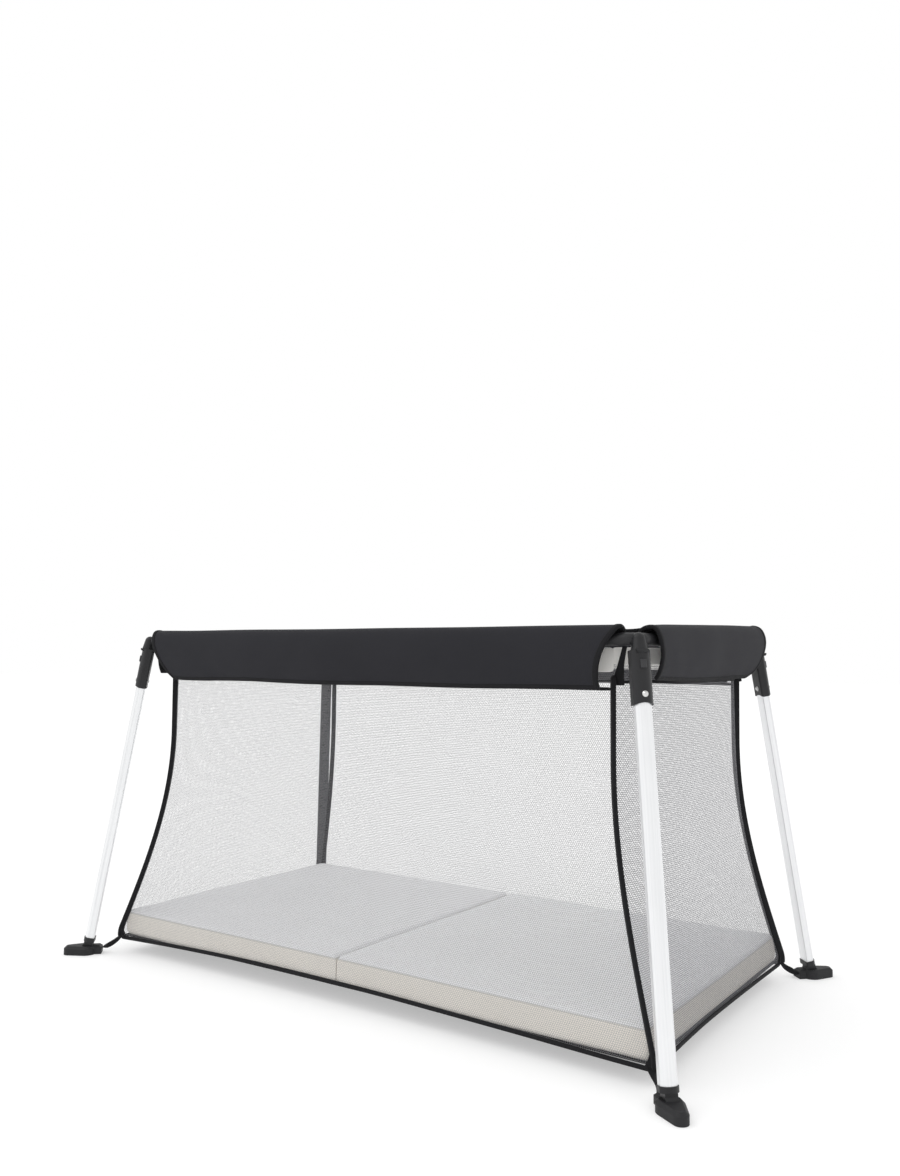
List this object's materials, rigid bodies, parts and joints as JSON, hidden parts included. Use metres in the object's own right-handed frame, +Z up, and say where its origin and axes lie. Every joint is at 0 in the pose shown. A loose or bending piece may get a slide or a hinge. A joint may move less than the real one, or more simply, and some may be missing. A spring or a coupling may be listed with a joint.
{
  "type": "playpen",
  "caption": "Framed mesh playpen: a rectangular rail on four splayed plug-in legs with tilting feet, holding a see-through mesh tub over a folding floor pad.",
  "frame": {"origin": "on the floor, under the middle of the pen", "axes": "+X along the long side, +Y across the short side, +Z up"},
  "size_m": [1.3364, 0.7924, 0.6655],
  "materials": {
    "tube_aluminium": "satin drawn tube",
    "leg_aluminium": "bright satin anodised",
    "rivet_steel": "bright zinc",
    "spring_steel": "plain",
    "black_plastic": "fine moulded grain",
    "black_fabric": "close plain weave",
    "black_binding": "ribbed binding tape",
    "black_webbing": "woven webbing",
    "white_mesh": "knitted hexagonal net",
    "pad_cover": "brushed knit"
  },
  "bodies": {
    "top_frame": {"rail_rivets": "rivet_steel", "rail_ferrules": "tube_aluminium", "end_rail_left": "tube_aluminium", "end_rail_right": "tube_aluminium", "base_sheet": "black_fabric", "hem_piping": "black_binding", "corner_piping": "black_binding", "mattress": "pad_cover", "mesh_wall_front": "white_mesh", "rail_wrap_front": "black_fabric", "long_rail_front_left": "tube_aluminium", "long_rail_front_right": "tube_aluminium", "mesh_wall_back": "white_mesh", "rail_wrap_back": "black_fabric", "long_rail_back_left": "tube_aluminium", "long_rail_back_right": "tube_aluminium", "mesh_wall_left": "white_mesh", "rail_wrap_left": "black_fabric", "mesh_wall_right": "white_mesh", "rail_wrap_right": "black_fabric", "corner_joint_front_left": "black_plastic", "foot_strap_front_left": "black_webbing", "corner_joint_front_right": "black_plastic", "foot_strap_front_right": "black_webbing", "corner_joint_back_left": "black_plastic", "foot_strap_back_left": "black_webbing", "corner_joint_back_right": "black_plastic", "foot_strap_back_right": "black_webbing"},
    "leg_front_left": {"leg_socket_front_left": "black_plastic", "leg_tube_front_left": "leg_aluminium", "socket_rivet_front_left": "rivet_steel", "button_spring_front_left": "spring_steel", "foot_plug_front_left": "black_plastic", "foot_pin_front_left": "spring_steel"},
    "button_front_left": {"lock_button_front_left": "black_plastic"},
    "pad_front_left": {"foot_pad_front_left": "black_plastic"},
    "leg_front_right": {"leg_socket_front_right": "black_plastic", "leg_tube_front_right": "leg_aluminium", "socket_rivet_front_right": "rivet_steel", "button_spring_front_right": "spring_steel", "foot_plug_front_right": "black_plastic", "foot_pin_front_right": "spring_steel"},
    "button_front_right": {"lock_button_front_right": "black_plastic"},
    "pad_front_right": {"foot_pad_front_right": "black_plastic"},
    "leg_back_left": {"leg_socket_back_left": "black_plastic", "leg_tube_back_left": "leg_aluminium", "socket_rivet_back_left": "rivet_steel", "button_spring_back_left": "spring_steel", "foot_plug_back_left": "black_plastic", "foot_pin_back_left": "spring_steel"},
    "button_back_left": {"lock_button_back_left": "black_plastic"},
    "pad_back_left": {"foot_pad_back_left": "black_plastic"},
    "leg_back_right": {"leg_socket_back_right": "black_plastic", "leg_tube_back_right": "leg_aluminium", "socket_rivet_back_right": "rivet_steel", "button_spring_back_right": "spring_steel", "foot_plug_back_right": "black_plastic", "foot_pin_back_right": "spring_steel"},
    "button_back_right": {"lock_button_back_right": "black_plastic"},
    "pad_back_right": {"foot_pad_back_right": "black_plastic"}
  },
  "joints": [
    {"name": "leg_pull_front_left", "type": "slide", "parent": "top_frame", "child": "leg_front_left", "axis": [-0.1163, -0.1163, -0.9864], "range_m": [0, 0.05], "deforming": ["foot_strap_front_left"]},
    {"name": "button_press_front_left", "type": "slide", "parent": "leg_front_left", "child": "button_front_left", "axis": [0.6975, 0.6975, -0.1645], "range_m": [0, 0.0035], "stiffness_N_per_m": 900, "deforming": ["button_spring_front_left"]},
    {"name": "pad_tilt_front_left", "type": "hinge", "parent": "leg_front_left", "child": "pad_front_left", "pos_m": [-0.63119, -0.35919, 0.014], "axis": [0.7071, -0.7071, 0], "range_deg": [-10, 10]},
    {"name": "leg_pull_front_right", "type": "slide", "parent": "top_frame", "child": "leg_front_right", "axis": [0.1163, -0.1163, -0.9864], "range_m": [0, 0.05], "deforming": ["foot_strap_front_right"]},
    {"name": "button_press_front_right", "type": "slide", "parent": "leg_front_right", "child": "button_front_right", "axis": [-0.6975, 0.6975, -0.1645], "range_m": [0, 0.0035], "stiffness_N_per_m": 900, "deforming": ["button_spring_front_right"]},
    {"name": "pad_tilt_front_right", "type": "hinge", "parent": "leg_front_right", "child": "pad_front_right", "pos_m": [0.63119, -0.35919, 0.014], "axis": [0.7071, 0.7071, 0], "range_deg": [-10, 10]},
    {"name": "leg_pull_back_left", "type": "slide", "parent": "top_frame", "child": "leg_back_left", "axis": [-0.1163, 0.1163, -0.9864], "range_m": [0, 0.05], "deforming": ["foot_strap_back_left"]},
    {"name": "button_press_back_left", "type": "slide", "parent": "leg_back_left", "child": "button_back_left", "axis": [0.6975, -0.6975, -0.1645], "range_m": [0, 0.0035], "stiffness_N_per_m": 900, "deforming": ["button_spring_back_left"]},
    {"name": "pad_tilt_back_left", "type": "hinge", "parent": "leg_back_left", "child": "pad_back_left", "pos_m": [-0.63119, 0.35919, 0.014], "axis": [-0.7071, -0.7071, 0], "range_deg": [-10, 10]},
    {"name": "leg_pull_back_right", "type": "slide", "parent": "top_frame", "child": "leg_back_right", "axis": [0.1163, 0.1163, -0.9864], "range_m": [0, 0.05], "deforming": ["foot_strap_back_right"]},
    {"name": "button_press_back_right", "type": "slide", "parent": "leg_back_right", "child": "button_back_right", "axis": [-0.6975, -0.6975, -0.1645], "range_m": [0, 0.0035], "stiffness_N_per_m": 900, "deforming": ["button_spring_back_right"]},
    {"name": "pad_tilt_back_right", "type": "hinge", "parent": "leg_back_right", "child": "pad_back_right", "pos_m": [0.63119, 0.35919, 0.014], "axis": [-0.7071, 0.7071, 0], "range_deg": [-10, 10]}
  ]
}
